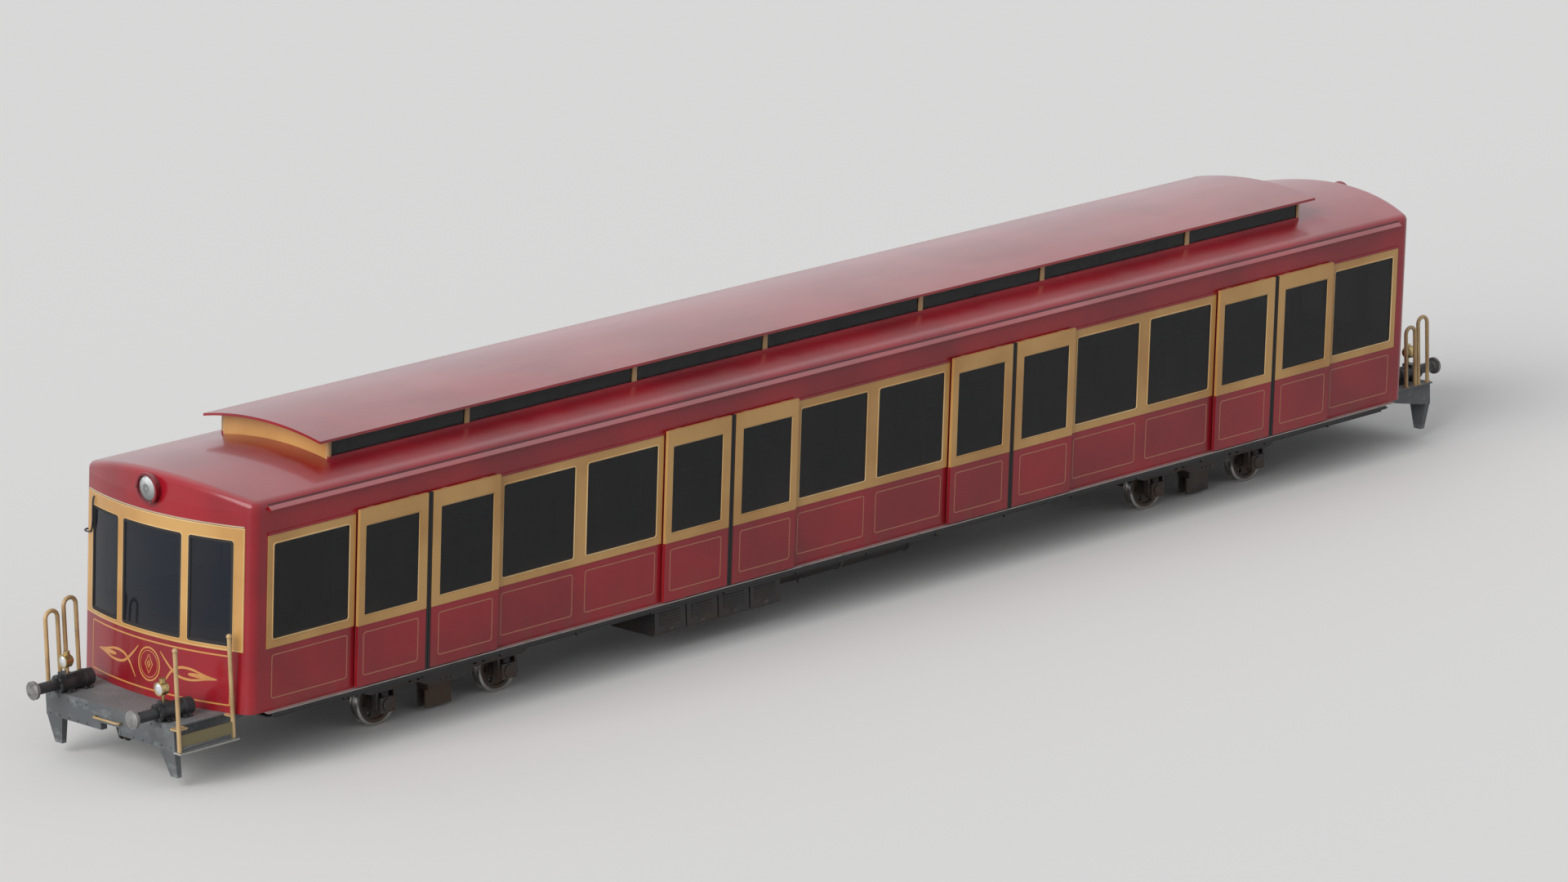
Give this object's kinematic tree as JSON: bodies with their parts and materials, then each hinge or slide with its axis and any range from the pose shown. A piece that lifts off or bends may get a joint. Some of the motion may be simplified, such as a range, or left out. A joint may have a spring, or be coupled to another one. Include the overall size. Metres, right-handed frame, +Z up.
{
  "type": "funicular car",
  "caption": "Funicular car with leaning sides, bowed glazed ends, sliding double doors, a clerestory roof, end platforms with buffers, and two bogies.",
  "frame": {"origin": "centre of the car at the level of the wheel flanges' lowest points", "axes": "+X uphill along the rails, +Y across the car, +Z up at right angles to the rails"},
  "size_m": [21.2, 3.014, 3.5297],
  "materials": {
    "crimson_paint": "gloss coach paint, deep crimson",
    "gold_paint": "gloss gold-yellow paint",
    "roof_paint": "satin roof paint, dusty red",
    "platform_grey": "satin mid-grey paint",
    "frame_black": "satin black chassis paint",
    "wheel_steel": "machined and weathered steel",
    "sill_aluminium": "brushed",
    "window_glass": "tinted",
    "lamp_glass": "clear, ribbed",
    "brass": "polished brass",
    "floor_rubber": "studded sheet",
    "bench_wood": "varnished hardwood slats",
    "pole_steel": "brushed stainless tube",
    "desk_plastic": "fine-grained moulding"
  },
  "bodies": {
    "car_body": {"battery_box": "frame_black", "benches": "bench_wood", "brake_power_pack": "frame_black", "buffers": "frame_black", "clerestory_ends": "gold_paint", "clerestory_glass": "window_glass", "clerestory_roof": "roof_paint", "clerestory_sides": "gold_paint", "control_desks": "desk_plastic", "door_rails": "sill_aluminium", "end_glass": "window_glass", "end_platforms": "platform_grey", "end_walls": "crimson_paint", "end_window_frames": "gold_paint", "floor": "floor_rubber", "grab_poles": "pole_steel", "gutters": "roof_paint", "handrails": "gold_paint", "lamp_housings": "brass", "lamp_lenses": "lamp_glass", "letterboards": "crimson_paint", "rail_guards": "platform_grey", "roof_caps": "roof_paint", "roof_sides": "roof_paint", "rope_anchor": "frame_black", "side_glass": "window_glass", "side_panels_left": "crimson_paint", "side_panels_right": "crimson_paint", "steps": "platform_grey", "thresholds": "sill_aluminium", "tow_coupler": "frame_black", "underframe": "frame_black", "window_frames": "gold_paint"},
    "bogie_downhill": {"bogie_frame_downhill": "frame_black", "rail_brake_downhill": "frame_black"},
    "bogie_uphill": {"bogie_frame_uphill": "frame_black", "rail_brake_uphill": "frame_black"},
    "wheelset_1": {"wheelset_1": "wheel_steel"},
    "wheelset_2": {"wheelset_2": "wheel_steel"},
    "wheelset_3": {"wheelset_3": "wheel_steel"},
    "wheelset_4": {"wheelset_4": "wheel_steel"},
    "right_door_1_downhill": {"right_door_1_downhill": "crimson_paint"},
    "right_door_1_uphill": {"right_door_1_uphill": "crimson_paint"},
    "right_door_2_downhill": {"right_door_2_downhill": "crimson_paint"},
    "right_door_2_uphill": {"right_door_2_uphill": "crimson_paint"},
    "right_door_3_downhill": {"right_door_3_downhill": "crimson_paint"},
    "right_door_3_uphill": {"right_door_3_uphill": "crimson_paint"},
    "right_door_4_downhill": {"right_door_4_downhill": "crimson_paint"},
    "right_door_4_uphill": {"right_door_4_uphill": "crimson_paint"},
    "left_door_1_downhill": {"left_door_1_downhill": "crimson_paint"},
    "left_door_1_uphill": {"left_door_1_uphill": "crimson_paint"},
    "left_door_2_downhill": {"left_door_2_downhill": "crimson_paint"},
    "left_door_2_uphill": {"left_door_2_uphill": "crimson_paint"},
    "left_door_3_downhill": {"left_door_3_downhill": "crimson_paint"},
    "left_door_3_uphill": {"left_door_3_uphill": "crimson_paint"},
    "left_door_4_downhill": {"left_door_4_downhill": "crimson_paint"},
    "left_door_4_uphill": {"left_door_4_uphill": "crimson_paint"}
  },
  "joints": [
    {"name": "bogie_downhill_swivel", "type": "hinge", "parent": "car_body", "child": "bogie_downhill", "pos_m": [-6.2, 0, 0.575], "axis": [0, 0, 1], "range_deg": [-6, 6]},
    {"name": "bogie_uphill_swivel", "type": "hinge", "parent": "car_body", "child": "bogie_uphill", "pos_m": [6.2, 0, 0.575], "axis": [0, 0, 1], "range_deg": [-6, 6]},
    {"name": "wheelset_1_roll", "type": "hinge", "parent": "bogie_downhill", "child": "wheelset_1", "pos_m": [-7.1, 0, 0.28], "axis": [0, 1, 0], "continuous": true},
    {"name": "wheelset_2_roll", "type": "hinge", "parent": "bogie_downhill", "child": "wheelset_2", "pos_m": [-5.3, 0, 0.28], "axis": [0, 1, 0], "continuous": true},
    {"name": "wheelset_3_roll", "type": "hinge", "parent": "bogie_uphill", "child": "wheelset_3", "pos_m": [5.3, 0, 0.28], "axis": [0, 1, 0], "continuous": true},
    {"name": "wheelset_4_roll", "type": "hinge", "parent": "bogie_uphill", "child": "wheelset_4", "pos_m": [7.1, 0, 0.28], "axis": [0, 1, 0], "continuous": true},
    {"name": "right_door_1_downhill_slide", "type": "slide", "parent": "car_body", "child": "right_door_1_downhill", "axis": [-1, 0, 0], "range_m": [0, 0.9]},
    {"name": "right_door_1_uphill_slide", "type": "slide", "parent": "car_body", "child": "right_door_1_uphill", "axis": [1, 0, 0], "range_m": [0, 0.9]},
    {"name": "right_door_2_downhill_slide", "type": "slide", "parent": "car_body", "child": "right_door_2_downhill", "axis": [-1, 0, 0], "range_m": [0, 0.9]},
    {"name": "right_door_2_uphill_slide", "type": "slide", "parent": "car_body", "child": "right_door_2_uphill", "axis": [1, 0, 0], "range_m": [0, 0.9]},
    {"name": "right_door_3_downhill_slide", "type": "slide", "parent": "car_body", "child": "right_door_3_downhill", "axis": [-1, 0, 0], "range_m": [0, 0.9]},
    {"name": "right_door_3_uphill_slide", "type": "slide", "parent": "car_body", "child": "right_door_3_uphill", "axis": [1, 0, 0], "range_m": [0, 0.9]},
    {"name": "right_door_4_downhill_slide", "type": "slide", "parent": "car_body", "child": "right_door_4_downhill", "axis": [-1, 0, 0], "range_m": [0, 0.9]},
    {"name": "right_door_4_uphill_slide", "type": "slide", "parent": "car_body", "child": "right_door_4_uphill", "axis": [1, 0, 0], "range_m": [0, 0.9]},
    {"name": "left_door_1_downhill_slide", "type": "slide", "parent": "car_body", "child": "left_door_1_downhill", "axis": [-1, 0, 0], "range_m": [0, 0.9]},
    {"name": "left_door_1_uphill_slide", "type": "slide", "parent": "car_body", "child": "left_door_1_uphill", "axis": [1, 0, 0], "range_m": [0, 0.9]},
    {"name": "left_door_2_downhill_slide", "type": "slide", "parent": "car_body", "child": "left_door_2_downhill", "axis": [-1, 0, 0], "range_m": [0, 0.9]},
    {"name": "left_door_2_uphill_slide", "type": "slide", "parent": "car_body", "child": "left_door_2_uphill", "axis": [1, 0, 0], "range_m": [0, 0.9]},
    {"name": "left_door_3_downhill_slide", "type": "slide", "parent": "car_body", "child": "left_door_3_downhill", "axis": [-1, 0, 0], "range_m": [0, 0.9]},
    {"name": "left_door_3_uphill_slide", "type": "slide", "parent": "car_body", "child": "left_door_3_uphill", "axis": [1, 0, 0], "range_m": [0, 0.9]},
    {"name": "left_door_4_downhill_slide", "type": "slide", "parent": "car_body", "child": "left_door_4_downhill", "axis": [-1, 0, 0], "range_m": [0, 0.9]},
    {"name": "left_door_4_uphill_slide", "type": "slide", "parent": "car_body", "child": "left_door_4_uphill", "axis": [1, 0, 0], "range_m": [0, 0.9]}
  ],
  "couplings": [
    {"joint": "right_door_1_uphill_slide", "follows": "right_door_1_downhill_slide", "ratio": 1},
    {"joint": "right_door_2_uphill_slide", "follows": "right_door_2_downhill_slide", "ratio": 1},
    {"joint": "right_door_3_uphill_slide", "follows": "right_door_3_downhill_slide", "ratio": 1},
    {"joint": "right_door_4_uphill_slide", "follows": "right_door_4_downhill_slide", "ratio": 1},
    {"joint": "left_door_1_uphill_slide", "follows": "left_door_1_downhill_slide", "ratio": 1},
    {"joint": "left_door_2_uphill_slide", "follows": "left_door_2_downhill_slide", "ratio": 1},
    {"joint": "left_door_3_uphill_slide", "follows": "left_door_3_downhill_slide", "ratio": 1},
    {"joint": "left_door_4_uphill_slide", "follows": "left_door_4_downhill_slide", "ratio": 1}
  ]
}
